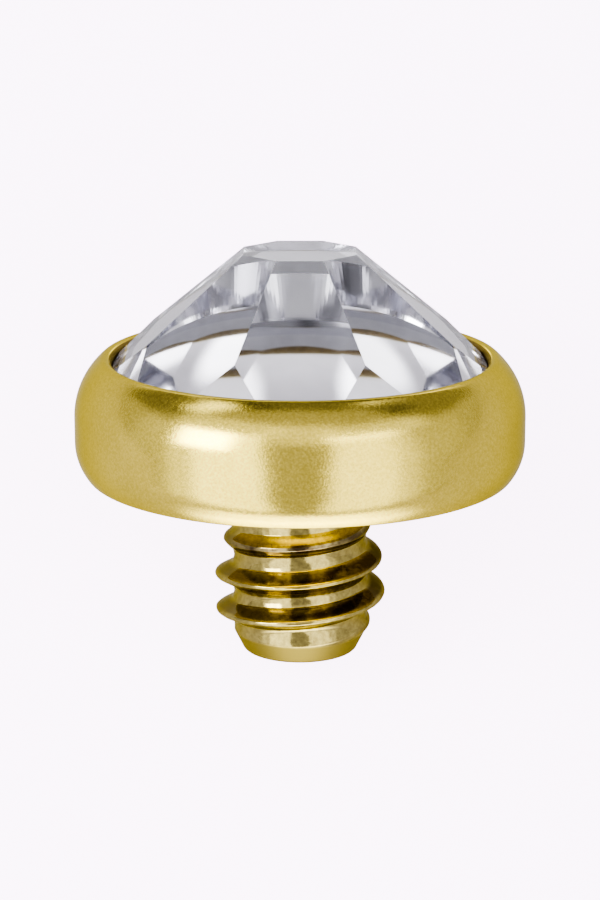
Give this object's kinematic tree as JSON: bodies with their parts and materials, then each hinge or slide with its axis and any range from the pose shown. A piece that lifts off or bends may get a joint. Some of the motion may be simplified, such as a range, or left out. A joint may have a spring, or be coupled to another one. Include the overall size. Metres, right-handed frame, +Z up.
{
  "type": "dermal anchor top",
  "caption": "Round bezel-set body jewellery top: a domed cup holds one clear cut stone, and a short threaded post below it screws into a skin anchor.",
  "frame": {"origin": "the point of the surface under the middle of the part's bounding box, as it lies put down", "axes": "+Z up from the surface; +X across the round setting, along its full diameter; the stone's side faces up and towards +Y, and the post points down and towards -Y. The post's axis runs from the setting towards (0, -0.7662, -0.6426)"},
  "size_m": [0.003, 0.0026, 0.0026],
  "materials": {
    "satin_gold": "satin gold colour with a fine grain",
    "clear_stone": "clear cut stone with a silver foil behind it",
    "polished_gold": "polished gold colour"
  },
  "bodies": {
    "root": {"setting": "satin_gold", "stone": "clear_stone", "threaded_post": "polished_gold"}
  },
  "joints": []
}
